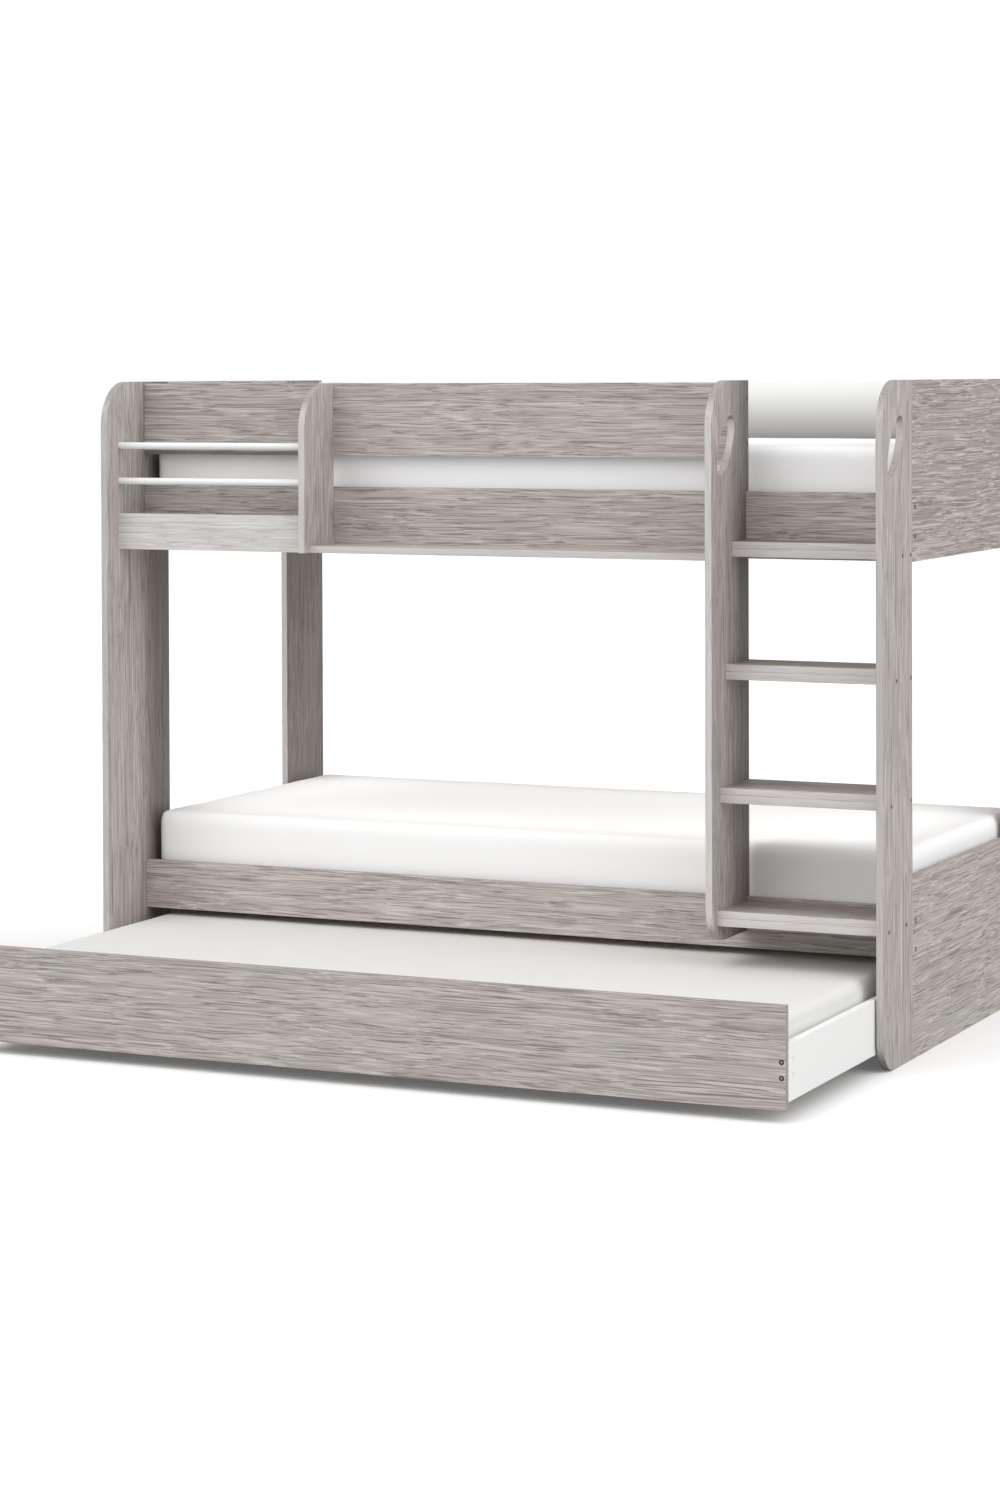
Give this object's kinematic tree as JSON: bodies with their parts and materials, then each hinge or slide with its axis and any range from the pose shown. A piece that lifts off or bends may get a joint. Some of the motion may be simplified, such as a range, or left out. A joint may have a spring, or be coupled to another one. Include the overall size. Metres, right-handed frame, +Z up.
{
  "type": "bunk bed with trundle",
  "caption": "Bunk bed of grey oak laminate boards with a ladder at one end, a book pocket with white rods on the top rail, guard rails, mattresses and a pull-out trundle bed on castors.",
  "frame": {"origin": "on the floor, midway along the bed, and midway between the front of the pulled-out trundle and the back of the bed", "axes": "+X along the bed towards its ladder end, +Y from the front to the back, +Z up"},
  "size_m": [1.95, 1.712, 1.486],
  "materials": {
    "oak_laminate": "satin grey oak laminate with fine straight grain",
    "pale_oak_laminate": "satin pale grey oak laminate",
    "white_laminate": "satin white laminate",
    "white_paint": "satin white paint",
    "pine": "planed, unfinished",
    "mattress_cover": "smooth white knit",
    "trundle_mattress_cover": "white knit with a fine square relief",
    "dark_steel": "dark bronze",
    "zinc_steel": "zinc plated",
    "castor_plastic": "moulded black"
  },
  "bodies": {
    "bed": {"connector_screws": "dark_steel", "frame_barrel_nuts": "zinc_steel", "frame_bolts": "dark_steel", "front_guard_rail": "oak_laminate", "ladder_stile": "oak_laminate", "ladder_tread_1": "oak_laminate", "ladder_tread_2": "oak_laminate", "ladder_tread_3": "oak_laminate", "ladder_tread_4": "oak_laminate", "ledge_board": "oak_laminate", "left_front_leg": "oak_laminate", "left_lower_end_panel": "oak_laminate", "left_rear_leg": "oak_laminate", "left_upper_end_panel": "oak_laminate", "lower_front_cleat": "pine", "lower_front_rail": "oak_laminate", "lower_mattress": "mattress_cover", "lower_pocket_rod": "white_paint", "lower_rear_cleat": "pine", "lower_rear_rail": "oak_laminate", "lower_slats": "pine", "pocket_divider": "oak_laminate", "pocket_lip": "pale_oak_laminate", "pocket_shelf": "oak_laminate", "rear_guard_board": "white_laminate", "right_front_leg": "oak_laminate", "right_lower_end_panel": "oak_laminate", "right_rear_leg": "oak_laminate", "right_upper_end_panel": "oak_laminate", "tread_base_1": "oak_laminate", "tread_base_2": "oak_laminate", "tread_base_3": "oak_laminate", "tread_base_4": "oak_laminate", "upper_front_cleat": "pine", "upper_front_rail": "oak_laminate", "upper_mattress": "mattress_cover", "upper_pocket_rod": "white_paint", "upper_rear_cleat": "pine", "upper_rear_rail": "oak_laminate", "upper_slats": "pine", "wooden_dowels": "pine"},
    "trundle": {"trundle_back": "white_laminate", "trundle_back_cleat": "pine", "trundle_barrel_nuts": "zinc_steel", "trundle_bolts": "dark_steel", "trundle_front": "oak_laminate", "trundle_front_cleat": "pine", "trundle_left_cross_rail": "pine", "trundle_left_side": "white_laminate", "trundle_mattress": "trundle_mattress_cover", "trundle_right_cross_rail": "pine", "trundle_right_side": "white_laminate", "trundle_slats": "pine", "castor_brackets": "zinc_steel", "castor_axles": "zinc_steel"},
    "front_left_wheel": {"castor_wheel_1": "castor_plastic"},
    "front_right_wheel": {"castor_wheel_2": "castor_plastic"},
    "back_left_wheel": {"castor_wheel_3": "castor_plastic"},
    "back_right_wheel": {"castor_wheel_4": "castor_plastic"}
  },
  "joints": [
    {"name": "trundle_slide", "type": "slide", "parent": "bed", "child": "trundle", "axis": [0, -1, 0], "range_m": [-0.759, 0.16]},
    {"name": "front_left_castor_roll", "type": "hinge", "parent": "trundle", "child": "front_left_wheel", "pos_m": [-0.769, -0.68, 0.025], "axis": [1, 0, 0], "continuous": true},
    {"name": "front_right_castor_roll", "type": "hinge", "parent": "trundle", "child": "front_right_wheel", "pos_m": [0.769, -0.68, 0.025], "axis": [1, 0, 0], "continuous": true},
    {"name": "back_left_castor_roll", "type": "hinge", "parent": "trundle", "child": "back_left_wheel", "pos_m": [-0.769, -0.1, 0.025], "axis": [1, 0, 0], "continuous": true},
    {"name": "back_right_castor_roll", "type": "hinge", "parent": "trundle", "child": "back_right_wheel", "pos_m": [0.769, -0.1, 0.025], "axis": [1, 0, 0], "continuous": true}
  ],
  "couplings": [
    {"joint": "front_left_castor_roll", "follows": "trundle_slide", "rad_per_m": 40},
    {"joint": "front_right_castor_roll", "follows": "trundle_slide", "rad_per_m": 40},
    {"joint": "back_left_castor_roll", "follows": "trundle_slide", "rad_per_m": 40},
    {"joint": "back_right_castor_roll", "follows": "trundle_slide", "rad_per_m": 40}
  ]
}
